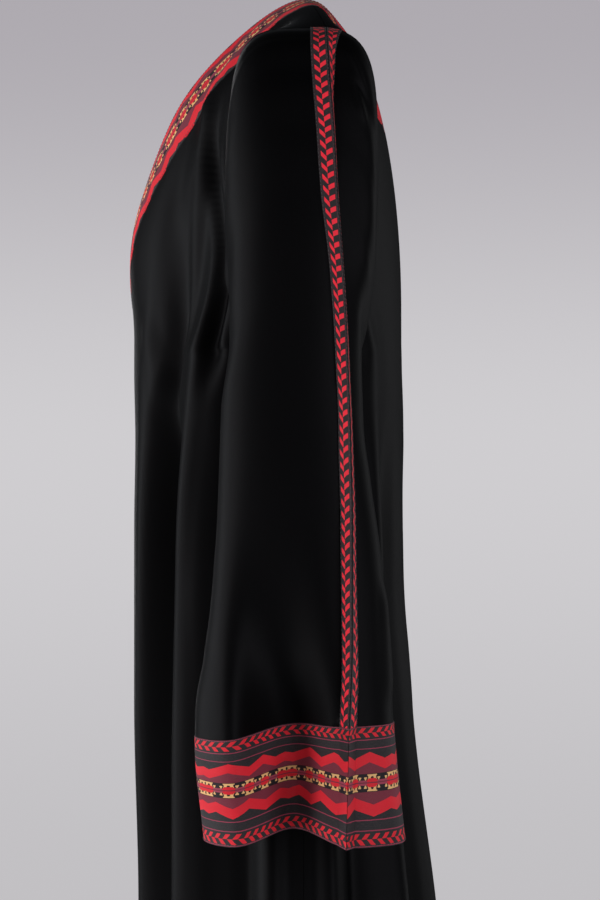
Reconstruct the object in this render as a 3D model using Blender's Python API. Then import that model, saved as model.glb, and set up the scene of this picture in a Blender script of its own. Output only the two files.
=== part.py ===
"""A worn abaya: a closed, full-length A-line overdress with a V neck, a patterned neck band,
wide two-piece sleeves with a trimmed outer seam, and deep patterned cuffs.

Metres, +Z up. The front faces -Y, and the wearer's left is +X. The origin lies between the
high points of the shoulders, where the wearer carries the garment.
"""

import math
from collections import namedtuple
from functools import lru_cache

import bmesh
import bpy
from mathutils import Vector

# Driving sizes
LENGTH = 1.42  # high point of the shoulder to hem
UNDERARM = -0.256  # height of the underarm, and of the outer tip of the neck V
NECK_DEPTH = 0.150  # high point of the shoulder to the bottom of the neck V
NECK_HALF_WIDTH = 0.080  # half the neck opening at the shoulder seam
BAND_WIDTH = 0.050  # neck band, measured along the shoulder seam
SHOULDER_TIP = Vector((0.190, 0.030, -0.042))  # where shoulder seam and sleeve seam meet
CREST = 0.012  # height of the neck opening's middle above the shoulder points
NECK_BACK = 0.022  # drop of the back neckline
TIP_ROW = 2  # the row of the front panel, counted from the underarm, that meets the V's tip
BACK_BAND_ROW = 6  # the row of the back panel that meets the band at the centre back
SIDE_SEAM_Y = 0.012  # the side seam, seen from the side, and the underarm point
TRIM_WIDTH = 0.013  # each strip beside the outer sleeve seam
CUFF_TOP = -0.596  # height of the seam that joins the cuff
CUFF_HEM = -0.684  # height of the cuff's open edge
BUST = 0.045  # how much further the front stands out just above the underarm

CLOTH = 0.0016  # wall of the black crepe
PRINT = 0.0020  # wall of the doubled, printed pieces
TRIM = 0.0010  # wall of the strips laid on the sleeve
SEAM = 0.0003  # clear gap between neighbouring pieces

FRONT_COLUMNS = 20  # from centre front to side seam
BODY_ROWS = 15  # from hem to underarm
BAND_COLUMNS = 3
SLEEVE_COLUMNS = 11  # from the outer seam to the underarm seam, the trim's own included
CUFF_ROWS = 3

BLACK = (0.012, 0.012, 0.014, 1.0)
RED = (0.55, 0.02, 0.03, 1.0)

# The body below the underarm. Each row is a level section.
Section = namedtuple("Section", "z half_width front back")
BODY = [
    Section(-LENGTH, 0.315, 0.138, 0.160),
    Section(-1.050, 0.262, 0.134, 0.140),
    Section(-0.780, 0.202, 0.133, 0.121),
    Section(-0.600, 0.178, 0.137, 0.102),
    Section(-0.450, 0.167, 0.137, 0.094),
    Section(-0.370, 0.164, 0.136, 0.096),
    Section(-0.310, 0.165, 0.137, 0.098),
    Section(UNDERARM, 0.165, 0.137, 0.098),
]

# The sleeve. Each row is a ring: the armhole stands almost upright and the cuff lies level.
# outer and inner are the points of the ring furthest from and nearest to the body, front and
# back its reach in Y, seam the outer seam's place in Y, and square the exponent of its upper
# half. strip_front and strip_back are how much of each trim's width shows from the side: the
# rest of it falls away from the outer seam, which stands up as a ridge.
Ring = namedtuple(
    "Ring", "outer_x outer_z inner_x inner_z front back seam square strip_front strip_back"
)
SLEEVE = [
    Ring(0.190, -0.042, 0.165, UNDERARM, -0.047, 0.071, 0.030, 3.8, 0.0130, 0.0130),
    Ring(0.213, -0.053, 0.178, -0.270, -0.048, 0.071, 0.030, 3.5, 0.0129, 0.0090),
    Ring(0.229, -0.082, 0.183, -0.286, -0.050, 0.070, 0.031, 3.2, 0.0129, 0.0045),
    Ring(0.242, -0.126, 0.186, -0.305, -0.049, 0.069, 0.034, 2.8, 0.0129, 0.0012),
    Ring(0.251, -0.180, 0.188, -0.330, -0.046, 0.064, 0.037, 2.6, 0.0128, 0.0010),
    Ring(0.258, -0.245, 0.190, -0.362, -0.046, 0.057, 0.042, 2.5, 0.0123, 0.0012),
    Ring(0.263, -0.315, 0.192, -0.400, -0.053, 0.058, 0.045, 2.5, 0.0104, 0.0022),
    Ring(0.268, -0.385, 0.195, -0.442, -0.055, 0.064, 0.047, 2.5, 0.0090, 0.0025),
    Ring(0.274, -0.455, 0.200, -0.490, -0.058, 0.072, 0.048, 2.5, 0.0079, 0.0030),
    Ring(0.282, -0.527, 0.203, -0.543, -0.065, 0.077, 0.048, 2.5, 0.0069, 0.0043),
    Ring(0.288, CUFF_TOP, 0.203, CUFF_TOP, -0.072, 0.081, 0.046, 2.6, 0.0062, 0.0056),
    Ring(0.290, CUFF_HEM, 0.203, CUFF_HEM, -0.066, 0.090, 0.044, 2.6, 0.0062, 0.0060),
]
CUFF_RING = len(SLEEVE) - 2
SOLE = 2.4  # exponent of a ring's lower half
CUFF_TILT = 0.011  # how much lower the cuff's seam hangs at the front
CUFF_LIFT = 0.006  # how much the cuff's open edge rises in the sleeve's deep fold
CUFF_LEAN = 0.022  # how much nearer the body the open edge hangs at the front

# Hanging folds of the body. The places run from centre line (0) to side seam or armhole (1),
# at the shoulder, the underarm and the hem. The heights are how far the fold stands out, or
# in where negative, at the same three and halfway.
Fold = namedtuple("Fold", "panel shoulder top foot spread yoke high middle hem")
FOLDS = [
    Fold("front", 0.10, 0.13, 0.17, 0.13, 0.000, 0.000, 0.004, 0.018),
    Fold("front", 0.42, 0.36, 0.30, 0.08, 0.004, 0.001, 0.000, 0.000),
    Fold("front", 0.57, 0.46, 0.36, 0.09, -0.002, -0.004, -0.024, -0.030),
    Fold("front", 0.68, 0.577, 0.46, 0.09, 0.006, 0.009, 0.012, 0.022),
    Fold("front", 0.78, 0.69, 0.585, 0.10, -0.004, -0.008, -0.016, -0.024),
    Fold("front", 0.88, 0.84, 0.80, 0.10, 0.004, 0.002, 0.006, 0.022),
    Fold("back", 0.20, 0.20, 0.16, 0.12, 0.000, 0.002, 0.006, 0.020),
    Fold("back", 0.38, 0.38, 0.34, 0.11, 0.000, -0.002, -0.008, -0.022),
    Fold("back", 0.75, 0.56, 0.53, 0.11, 0.002, 0.003, 0.008, 0.024),
    Fold("back", 0.85, 0.73, 0.71, 0.10, -0.002, -0.003, -0.008, -0.022),
    Fold("back", 0.90, 0.88, 0.87, 0.09, 0.000, 0.001, 0.005, 0.020),
]
FOLD_MIDDLE = -0.60  # height at which a fold has its middle size

# Lengthwise folds of the sleeve: y is where the fold runs at its top and at the cuff's hem.
SleeveFold = namedtuple("SleeveFold", "y_top y_hem spread z_top depth")
SLEEVE_FOLDS = [
    SleeveFold(-0.022, 0.003, 0.045, -0.360, -0.058),
    SleeveFold(-0.044, -0.047, 0.022, -0.300, 0.006),
]


def smooth(t):
    """0 below 0, 1 above 1, and an even S between."""
    t = min(1.0, max(0.0, t))
    return t * t * (3 - 2 * t)


def bump(t):
    """1 at 0, falling to 0 at -1 and 1."""
    return math.cos(0.5 * math.pi * t) ** 2 if abs(t) < 1 else 0.0


def blend(a, b, t):
    return a + (b - a) * t


def soft_min(a, b, width):
    """The smaller of two values, with the corner between them rounded over a width."""
    h = max(width - abs(a - b), 0.0) / width
    return min(a, b) - h * h * width / 4


def through(table, key, name, value):
    """A column of a table at a value of its key column, on a curve through the rows."""
    rows = sorted(table, key=lambda row: getattr(row, key))
    keys = [getattr(row, key) for row in rows]
    values = [getattr(row, name) for row in rows]
    i = max(0, min(len(rows) - 2, sum(k <= value for k in keys) - 1))
    return curve(keys, values, i, value)


def curve(keys, values, i, at):
    """Cubic between points i and i + 1, with slopes that never overshoot a neighbour."""

    def slope(j):
        if j == 0 or j == len(keys) - 1:
            k = min(j, len(keys) - 2)
            return (values[k + 1] - values[k]) / (keys[k + 1] - keys[k])
        before = (values[j] - values[j - 1]) / (keys[j] - keys[j - 1])
        after = (values[j + 1] - values[j]) / (keys[j + 1] - keys[j])
        return 0.0 if before * after <= 0 else 2 * before * after / (before + after)

    span = keys[i + 1] - keys[i]
    t = (at - keys[i]) / span
    a = values[i] + span * slope(i) * t
    b = values[i + 1] + span * slope(i + 1) * (t - 1)
    s = t * t * (3 - 2 * t)
    return a + (b - a) * s


def ring_at(flow):
    """The sleeve's ring at a place along it, where 0 is the armhole and each row adds 1."""
    i = max(0, min(len(SLEEVE) - 2, int(flow)))
    keys = list(range(len(SLEEVE)))
    return Ring(*(curve(keys, [row[n] for row in SLEEVE], i, flow) for n in range(len(SLEEVE[0]))))


def ring_point(ring, angle):
    """A point of a plain ring. Angle 0 is its outer top, half a turn its inner foot, plus is back."""
    power = 2 / (ring.square if math.cos(angle) > 0 else SOLE)
    up = math.copysign(abs(math.cos(angle)) ** power, math.cos(angle))
    along = math.copysign(abs(math.sin(angle)) ** power, math.sin(angle))
    middle, reach = (ring.front + ring.back) / 2, (ring.back - ring.front) / 2
    return Vector((
        (ring.outer_x + ring.inner_x) / 2 + (ring.outer_x - ring.inner_x) / 2 * up,
        middle + reach * along,
        (ring.outer_z + ring.inner_z) / 2 + (ring.outer_z - ring.inner_z) / 2 * up,
    ))


def seam_angle(ring):
    """The angle at which a ring crosses the outer seam."""
    middle, reach = (ring.front + ring.back) / 2, (ring.back - ring.front) / 2
    return math.asin(((ring.seam - middle) / reach) ** (ring.square / 2))


def half_ring(ring, panel, shares, steps=90):
    """Points of one half of a ring, at shares of its length from outer seam to underarm seam."""
    start = seam_angle(ring)
    end = -math.pi if panel == "front" else math.pi
    fine = [ring_point(ring, blend(start, end, k / steps)) for k in range(steps + 1)]
    run = [0.0]
    for a, b in zip(fine, fine[1:]):
        run.append(run[-1] + (b - a).length)
    points = []
    for share in shares:
        goal = share * run[-1]
        k = max(0, min(steps - 1, sum(r <= goal for r in run) - 1))
        points.append(fine[k].lerp(fine[k + 1], (goal - run[k]) / (run[k + 1] - run[k])))
    return points, run[-1]


def sleeve_fold(point):
    """How far a sleeve point moves away from the body by the lengthwise folds."""
    out = 0.0
    for fold in SLEEVE_FOLDS:
        grown = smooth((fold.z_top - point.z) / (fold.z_top - CUFF_HEM))
        across = blend(fold.y_top, fold.y_hem, grown)
        out += fold.depth * grown ** 2 * bump((point.y - across) / fold.spread)
    return out


def ridge(ring, panel, share, first):
    """How far a sleeve point moves away from the body by the seam's ridge. A strip reaches from
    the crest (share 0) to the panel's own surface (share first) and keeps its full width."""
    front_fall = math.sqrt(max(0.0, TRIM_WIDTH ** 2 - ring.strip_front ** 2))
    back_fall = math.sqrt(max(0.0, TRIM_WIDTH ** 2 - ring.strip_back ** 2))
    if share < first:
        return front_fall * (1 - share / first)
    if panel == "front":
        return 0.0
    return (front_fall - back_fall) * (1 - smooth((share - first) / 0.45))


def sleeve_shares(ring, panel):
    """Where a sleeve panel's columns cross a ring: the strip's first, the rest even."""
    length = half_ring(ring, panel, [0.0])[1]
    first = (ring.strip_front if panel == "front" else ring.strip_back) / length
    count = SLEEVE_COLUMNS - 1
    return [0.0] + [blend(first, 1.0, k / count) for k in range(count + 1)]


def sleeve_row(flow, panel):
    """One row of a sleeve panel, from the outer seam to the underarm seam."""
    ring = ring_at(flow)
    shares = sleeve_shares(ring, panel)
    points = half_ring(ring, panel, shares)[0]
    facing = (ring.outer_x - ring.inner_x) / 2
    middle_x = (ring.outer_x + ring.inner_x) / 2
    begun = smooth(flow / 2)
    hem = smooth(flow - CUFF_RING)
    tilt = CUFF_TILT * smooth(flow / CUFF_RING) ** 2 * (1 - 0.7 * hem)
    for share, point in zip(shares, points):
        outside = smooth((point.x - middle_x) / facing + 0.1)
        point.x += (sleeve_fold(point) + ridge(ring, panel, share, shares[1])) * outside * begun
        point.z += tilt * (0.5 - smooth((0.02 - point.y) / 0.08))
        point.z += CUFF_LIFT * hem * bump((point.y - SLEEVE_FOLDS[0].y_hem) / 0.05)
        point.x -= CUFF_LEAN * hem * smooth((-0.01 - point.y) / 0.04)
    return points


@lru_cache(maxsize=None)
def armhole(panel, share):
    """The armhole, from the underarm (0) to the shoulder tip (1)."""
    return half_ring(SLEEVE[0], panel, [1 - share])[0][0]


def body_bare(panel, across, level):
    """The left half of the body with no folds. across runs from the centre line to the side
    seam or armhole, level from the hem at -1 by the underarm at 0 to the shoulder seam at 1."""
    forward = -1 if panel == "front" else 1
    turn = across * math.pi / 2
    if level <= 0:
        z = blend(UNDERARM, -LENGTH, -level) - sag(across) * (1 + level) ** 3
        half = through(BODY, "z", "half_width", z)
        depth = forward * through(BODY, "z", panel, z)
        return Vector((
            half * math.sin(turn),
            blend(SIDE_SEAM_Y, depth, math.cos(turn)),
            z,
        ))
    edge = armhole(panel, level)
    height = UNDERARM + (CREST - UNDERARM) * math.sin(math.pi / 2 * level ** 1.5)
    middle = height - sag(0) * (1 - level) ** 1.5
    rise = max(0.0, middle - UNDERARM) / (CREST - UNDERARM)
    depth = forward * getattr(BODY[-1], panel) * (1 - rise ** 2) ** (0.55 if panel == "front" else 0.38)
    if panel == "front":
        depth *= 1 + BUST * bump((middle + 0.195) / 0.09)
    out = blend(math.sin(turn), across, level ** 2)
    curved = (1 - out * out) ** blend(0.5, 1.0, smooth(level / 0.4))
    profile = blend(curved, 1 - out, smooth((level - 0.6) / 0.4))
    return Vector((
        edge.x * out,
        blend(edge.y, depth, profile),
        blend(height, edge.z, out * out) - sag(across) * (1 - level) ** 1.5,
    ))


def sag(across):
    """How far the row that ends at the underarm point lies below it elsewhere."""
    tip = armhole_levels("front")[TIP_ROW]
    needed = (CREST - UNDERARM) * math.sin(math.pi / 2 * tip ** 1.5) / (1 - tip) ** 1.5
    return needed * (1 - across ** 6)


def fold_at(panel, across, level):
    """How far the body's hanging folds stand out."""
    z = blend(UNDERARM, -LENGTH, -level) if level < 0 else UNDERARM
    low = (UNDERARM - z) / (UNDERARM + LENGTH)
    to_middle = (UNDERARM - z) / (UNDERARM - FOLD_MIDDLE)
    to_hem = (FOLD_MIDDLE - z) / (FOLD_MIDDLE + LENGTH)
    out = 0.0
    for fold in FOLDS:
        if fold.panel != panel:
            continue
        place = blend(fold.top, fold.foot, low ** (1 / 3))
        size = blend(fold.high, fold.middle, smooth(to_middle))
        size = blend(size, fold.hem, smooth(to_hem))
        if level > 0:
            place = blend(fold.top, fold.shoulder, smooth(level / 0.7))
            size = blend(fold.high, fold.yoke, smooth(level / 0.5)) * (1 - smooth((level - 0.6) / 0.3))
        edge = 1 if across < 0.9 else smooth((1 - across) / 0.1)
        out += size * edge * bump((across - place) / fold.spread)
    return out


def body_point(panel, across, level):
    """The left half of the body, folds and all."""
    point = body_bare(panel, across, level)
    step = 0.002
    a, b = max(0.0, across - step), min(1.0, across + step)
    c, d = max(-1.0, level - step), min(1.0, level + step)
    u = body_bare(panel, b, level) - body_bare(panel, a, level)
    v = body_bare(panel, across, d) - body_bare(panel, across, c)
    normal = u.cross(v).normalized()
    if panel == "back":
        normal.negate()
    if across == 0:
        normal.x = 0
    return point + normal * fold_at(panel, across, level)


def band_edge(panel, level, inner):
    """across at which a band edge crosses a level. inner is the neckline, else the seam."""
    if panel == "front":
        drop = NECK_DEPTH if inner else -UNDERARM
        limit = NECK_HALF_WIDTH + (0 if inner else BAND_WIDTH)
        lean = (NECK_HALF_WIDTH + BAND_WIDTH) / (-UNDERARM - 0.012)
        low, high = 0.0, 1.0
        for _ in range(40):
            middle = (low + high) / 2
            point = body_bare(panel, middle, level)
            edge = soft_min(lean * (point.z + drop), limit, 0.03)
            low, high = (middle, high) if point.x < edge else (low, middle)
        return low
    foot = level_at("back", NECK_BACK) if inner else armhole_levels("back")[BACK_BAND_ROW]
    shoulder = band_edge("front", 1.0, inner)
    if level <= foot:
        return 0.0
    return shoulder * math.sqrt(1 - ((1 - level) / (1 - foot)) ** 2)


def level_at(panel, drop):
    """The level at which a centre line lies a given drop below the shoulder points."""
    low, high = 0.0, 1.0
    for _ in range(40):
        middle = (low + high) / 2
        low, high = (middle, high) if body_bare(panel, 0.0, middle).z < -drop else (low, middle)
    return low


@lru_cache(maxsize=None)
def armhole_levels(panel):
    """The body's rows beside the armhole, which meet the sleeve's columns."""
    return [1 - share for share in sleeve_shares(SLEEVE[0], panel)[::-1]]


HEM_LEVELS = [-1 + k / BODY_ROWS for k in range(BODY_ROWS)]


class Panel:
    """A sheet of quads on the garment's middle surface."""

    def __init__(self, name, wall, colour, colour_name):
        self.name, self.wall, self.colour, self.colour_name = name, wall, colour, colour_name
        self.points, self.faces, self.index = [], [], {}

    def point(self, place):
        key = key_of(place)
        if key not in self.index:
            self.index[key] = len(self.points)
            self.points.append(place.copy())
        return self.index[key]

    def grid(self, rows, flip):
        """Quads between rows of points. A row's repeated point makes its quad a triangle."""
        ids = [[self.point(p) for p in row] for row in rows]
        for low, high in zip(ids, ids[1:]):
            for k in range(len(low) - 1):
                face = [low[k], low[k + 1], high[k + 1], high[k]]
                face = [v for n, v in enumerate(face) if v != face[n - 1]]
                if len(face) > 2:
                    self.faces.append(face[::-1] if flip else face)


def mirrored(rows):
    return [[Vector((-p.x, p.y, p.z)) for p in row] for row in rows]


def body_rows(panel):
    """Rows of half a body panel: the full width below the underarm, and outside the band above."""
    rows = []
    for level in HEM_LEVELS + armhole_levels(panel):
        start = band_edge(panel, level, False) if level > 0 else 0.0
        shares = [k / FRONT_COLUMNS for k in range(FRONT_COLUMNS + 1)]
        rows.append([body_point(panel, blend(start, 1.0, s), level) for s in shares])
    return rows


def band_rows(panel):
    """Rows across half the neck band, from its mitre or centre back to the shoulder seam."""
    neck_foot = level_at(panel, NECK_DEPTH if panel == "front" else NECK_BACK)
    levels = armhole_levels(panel)[TIP_ROW if panel == "front" else BACK_BAND_ROW:]
    seam_foot = levels[0]
    rows = []
    for level in levels:
        outer = (band_edge(panel, level, False), level)
        inner_level = blend(neck_foot, 1.0, (level - seam_foot) / (1 - seam_foot))
        inner = (band_edge(panel, inner_level, True), inner_level)
        row = []
        for k in range(BAND_COLUMNS + 1):
            t = k / BAND_COLUMNS
            row.append(body_point(panel, blend(inner[0], outer[0], t), blend(inner[1], outer[1], t)))
        rows.append(row)
    return rows


def make_panels():
    """Every piece of cloth, as sheets that share their points along the seams."""
    panels = []
    for panel in ("front", "back"):
        piece = Panel(panel, CLOTH, BLACK, "black crepe")
        rows = body_rows(panel)
        piece.grid(rows, panel == "back")
        piece.grid(mirrored(rows), panel == "front")
        panels.append(piece)
    for side, name in ((1, "left"), (-1, "right")):
        placed = (lambda rows: rows) if side == 1 else mirrored
        band = Panel("neck_band_" + name, PRINT, RED, "red print")
        band.grid(placed(band_rows("front")), side == -1)
        band.grid(placed(band_rows("back")), side == 1)
        panels.append(band)
        for panel in ("front", "back"):
            flip = (panel == "front") != (side == 1)
            sleeve = Panel("sleeve_%s_%s" % (panel, name), CLOTH, BLACK, "black crepe")
            rows = [sleeve_row(k, panel) for k in range(CUFF_RING + 1)]
            sleeve.grid(placed(rows), flip)
            panels.append(sleeve)
            cuff = Panel("cuff_%s_%s" % (panel, name), PRINT, RED, "red print")
            steps = [CUFF_RING + k / CUFF_ROWS for k in range(CUFF_ROWS + 1)]
            cuff.grid(placed([sleeve_row(flow, panel) for flow in steps]), flip)
            panels.append(cuff)
    return panels


def own_normals(panel):
    """The surface direction at each point of one sheet, each face weighed by its corner."""
    sums = [Vector() for _ in panel.points]
    for face in panel.faces:
        for n, v in enumerate(face):
            here = panel.points[v]
            ahead = panel.points[face[(n + 1) % len(face)]] - here
            behind = panel.points[face[n - 1]] - here
            sums[v] += ahead.cross(behind).normalized() * ahead.angle(behind)
    return [total.normalized() for total in sums]


def seam_offsets(panels):
    """The step from the middle surface to one wall thickness outside it, at each point. Pieces
    that meet share it, so that their edges stay parallel, and it is longer at a sharp seam."""
    found = {}
    for panel in panels:
        for place, normal in zip(panel.points, own_normals(panel)):
            found.setdefault(key_of(place), []).append(normal)
    offsets = {}
    for key, normals in found.items():
        shared = sum(normals, Vector()).normalized()
        lean = sum(shared.dot(normal) for normal in normals) / len(normals)
        offsets[key] = shared / max(lean, 0.45)
    return offsets


def key_of(place):
    return tuple(round(x * 1e6) for x in place)


def add_wall(name, points, normals, faces, wall, lift, colour, colour_name):
    """A closed wall on a sheet: its middle lies lift outside it, and its free edges are drawn
    back by half the seam gap."""
    edges = {}
    for face in faces:
        for a, b in zip(face, face[1:] + face[:1]):
            edges[(a, b)] = True
    free = [(a, b) for a, b in edges if (b, a) not in edges]
    drawn = [p.copy() for p in points]
    for a, b in free:
        along = points[b] - points[a]
        for v in (a, b):
            drawn[v] += normals[v].cross(along).normalized() * SEAM / 2
    outer = [p + n * (lift + wall / 2) for p, n in zip(drawn, normals)]
    inner = [p + n * (lift - wall / 2) for p, n in zip(drawn, normals)]
    count = len(points)
    solid = [list(face) for face in faces]
    solid += [[v + count for v in face[::-1]] for face in faces]
    solid += [[b, a, a + count, b + count] for a, b in free]
    mesh = bpy.data.meshes.new(name)
    mesh.from_pydata(outer + inner, [], solid)
    made = bmesh.new()
    made.from_mesh(mesh)
    bmesh.ops.triangulate(made, faces=made.faces[:])
    made.to_mesh(mesh)
    made.free()
    mesh.shade_smooth()
    mesh.set_sharp_from_angle(angle=math.radians(50))
    mesh.materials.append(material(colour_name, colour))
    thing = bpy.data.objects.new(name, mesh)
    bpy.context.scene.collection.objects.link(thing)
    return thing


def material(name, colour):
    found = bpy.data.materials.get(name)
    if found:
        return found
    made = bpy.data.materials.new(name)
    made.use_nodes = True
    shader = made.node_tree.nodes["Principled BSDF"]
    shader.inputs["Base Color"].default_value = colour
    shader.inputs["Roughness"].default_value = 0.6
    shader.inputs["Metallic"].default_value = 0.0
    return made


def add_trim(sleeve, normals, columns_per_row):
    """The printed strip that lies on a sleeve panel's outer seam edge: its first column."""
    rows = len(sleeve.points) // columns_per_row
    points, own, faces = [], [], []
    for k in range(rows):
        for column in (0, 1):
            v = k * columns_per_row + column
            points.append(sleeve.points[v])
            own.append(normals[v])
    for k in range(rows - 1):
        faces.append([2 * k, 2 * k + 1, 2 * k + 3, 2 * k + 2])
    first = sleeve.faces[0]
    if first.index(1) == (first.index(0) - 1) % 4:
        faces = [face[::-1] for face in faces]
    name = sleeve.name.replace("sleeve", "trim")
    lift = CLOTH / 2 + SEAM + TRIM / 2
    add_wall(name, points, own, faces, TRIM, lift, RED, "red print")


def main():
    for thing in list(bpy.data.objects):
        bpy.data.objects.remove(thing)
    panels = make_panels()
    shared = seam_offsets(panels)
    for panel in panels:
        normals = [shared[key_of(place)] for place in panel.points]
        add_wall(
            panel.name, panel.points, normals, panel.faces, panel.wall, 0.0,
            panel.colour, panel.colour_name,
        )
        if panel.name.startswith("sleeve"):
            add_trim(panel, normals, SLEEVE_COLUMNS + 1)


main()
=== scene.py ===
import math
from collections import namedtuple
from functools import lru_cache, partial

import bpy
import numpy as np
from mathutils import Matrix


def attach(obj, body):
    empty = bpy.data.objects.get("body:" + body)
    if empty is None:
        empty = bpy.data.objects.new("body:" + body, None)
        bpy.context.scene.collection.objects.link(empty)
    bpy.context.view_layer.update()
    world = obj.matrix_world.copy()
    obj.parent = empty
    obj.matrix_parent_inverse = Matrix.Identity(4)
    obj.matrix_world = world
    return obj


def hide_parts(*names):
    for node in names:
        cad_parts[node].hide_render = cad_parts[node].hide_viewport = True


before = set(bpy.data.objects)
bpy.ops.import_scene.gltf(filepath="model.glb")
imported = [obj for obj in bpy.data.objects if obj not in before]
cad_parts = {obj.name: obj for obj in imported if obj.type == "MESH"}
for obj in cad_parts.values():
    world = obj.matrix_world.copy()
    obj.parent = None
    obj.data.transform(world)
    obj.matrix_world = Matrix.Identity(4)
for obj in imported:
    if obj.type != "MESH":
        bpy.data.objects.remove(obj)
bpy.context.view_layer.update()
print("frame loaded")

# The form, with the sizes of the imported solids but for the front's folds. Metres, front on -Y.
shape = dict(
    length=1.42, underarm=-0.256, neckDepth=0.150, neckHalfWidth=0.080, bandWidth=0.050,
    neckRounding=0.03, crest=0.012, neckBack=0.022, tipRow=2, backBandRow=6, sideSeamY=0.012,
    sideSeamHighY=0.030, trimWidth=0.013, cuffHem=-0.684, bust=0.045, bustZ=-0.195, bustReach=0.09,
    sleeveColumns=11, sole=2.4, cuffTilt=0.011, cuffLift=0.006, cuffLean=0.022, foldMiddle=-0.44,
)

Section = namedtuple("Section", "z halfWidth front back")
bodySections = [
    Section(-1.420, 0.315, 0.138, 0.160),
    Section(-1.050, 0.262, 0.134, 0.140),
    Section(-0.780, 0.202, 0.133, 0.121),
    Section(-0.600, 0.178, 0.137, 0.102),
    Section(-0.450, 0.167, 0.137, 0.094),
    Section(-0.370, 0.164, 0.136, 0.096),
    Section(-0.310, 0.165, 0.137, 0.098),
    Section(-0.256, 0.165, 0.137, 0.098),
]

Ring = namedtuple(
    "Ring", "outerX outerZ innerX innerZ front back seam square stripFront stripBack"
)
sleeveRings = [
    Ring(0.190, -0.042, 0.165, -0.256, -0.047, 0.071, 0.030, 3.8, 0.0130, 0.0130),
    Ring(0.213, -0.053, 0.178, -0.270, -0.048, 0.071, 0.030, 3.5, 0.0129, 0.0090),
    Ring(0.229, -0.082, 0.183, -0.286, -0.050, 0.070, 0.031, 3.2, 0.0129, 0.0045),
    Ring(0.242, -0.126, 0.186, -0.305, -0.049, 0.069, 0.034, 2.8, 0.0129, 0.0012),
    Ring(0.251, -0.180, 0.188, -0.330, -0.046, 0.064, 0.037, 2.6, 0.0128, 0.0010),
    Ring(0.258, -0.245, 0.190, -0.362, -0.046, 0.057, 0.042, 2.5, 0.0123, 0.0012),
    Ring(0.263, -0.315, 0.192, -0.400, -0.053, 0.058, 0.045, 2.5, 0.0104, 0.0022),
    Ring(0.268, -0.385, 0.195, -0.442, -0.055, 0.064, 0.047, 2.5, 0.0090, 0.0025),
    Ring(0.274, -0.455, 0.200, -0.490, -0.058, 0.072, 0.048, 2.5, 0.0079, 0.0030),
    Ring(0.282, -0.527, 0.203, -0.543, -0.065, 0.077, 0.048, 2.5, 0.0069, 0.0043),
    Ring(0.288, -0.596, 0.203, -0.596, -0.072, 0.081, 0.046, 2.6, 0.0062, 0.0056),
    Ring(0.290, -0.684, 0.203, -0.684, -0.066, 0.090, 0.044, 2.6, 0.0062, 0.0060),
]
cuffRing = len(sleeveRings) - 2

# Hanging folds: where each runs and how far it stands out. The front's follow the photo and are
# deeper than the solids', the back's and the sleeves' are the same.
Fold = namedtuple("Fold", "panel shoulder top foot spread yoke high middle hem")
bodyFolds = [
    Fold("front", 0.42, 0.36, 0.30, 0.08, 0.003, 0.000, 0.000, 0.000),
    Fold("front", 0.345, 0.42, 0.13, 0.09, -0.002, -0.010, -0.024, -0.026),
    Fold("front", 0.57, 0.42, 0.31, 0.207, -0.002, -0.012, -0.044, -0.046),
    Fold("front", 0.58, 0.625, 0.56, 0.14, 0.006, 0.005, 0.011, 0.017),
    Fold("front", 0.74, 0.77, 0.815, 0.12, -0.004, -0.005, -0.006, -0.010),
    Fold("front", 0.88, 0.89, 0.87, 0.09, 0.004, 0.002, 0.006, 0.022),
    Fold("back", 0.20, 0.20, 0.16, 0.12, 0.000, 0.002, 0.006, 0.020),
    Fold("back", 0.38, 0.38, 0.34, 0.11, 0.000, -0.002, -0.008, -0.022),
    Fold("back", 0.75, 0.56, 0.53, 0.11, 0.002, 0.003, 0.008, 0.024),
    Fold("back", 0.85, 0.73, 0.71, 0.10, -0.002, -0.003, -0.008, -0.022),
    Fold("back", 0.90, 0.88, 0.87, 0.09, 0.000, 0.001, 0.005, 0.020),
]
SleeveFold = namedtuple("SleeveFold", "yTop yHem spread zTop depth")
sleeveFolds = [
    SleeveFold(-0.022, 0.003, 0.045, -0.360, -0.058),
    SleeveFold(-0.044, -0.047, 0.022, -0.300, 0.006),
]


def smooth(t):
    t = np.clip(t, 0.0, 1.0)
    return t * t * (3 - 2 * t)


def bump(t):
    return np.cos(0.5 * np.pi * np.clip(t, -1, 1)) ** 2


def blend(a, b, t):
    return a + (b - a) * t


# Cubic through points, with slopes that never overshoot a neighbour.
def curve(keys, values, at):
    keys, values = np.asarray(keys, float), np.asarray(values, float)
    gaps = np.diff(values) / np.diff(keys)
    before, after = gaps[:-1], gaps[1:]
    both = np.where(before + after == 0, 1.0, before + after)
    inner = np.where(before * after <= 0, 0.0, 2 * before * after / both)
    slopes = np.concatenate([gaps[:1], inner, gaps[-1:]])
    i = np.clip(np.searchsorted(keys, at, side="right") - 1, 0, len(keys) - 2)
    span = keys[i + 1] - keys[i]
    t = (at - keys[i]) / span
    a = values[i] + span * slopes[i] * t
    b = values[i + 1] + span * slopes[i + 1] * (t - 1)
    return a + (b - a) * t * t * (3 - 2 * t)


def sectionAt(name, z):
    rows = sorted(bodySections, key=lambda row: row.z)
    return curve([row.z for row in rows], [getattr(row, name) for row in rows], z)


def ringAt(flow):
    keys = list(range(len(sleeveRings)))
    return Ring(*(curve(keys, column, flow) for column in zip(*sleeveRings)))


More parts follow.
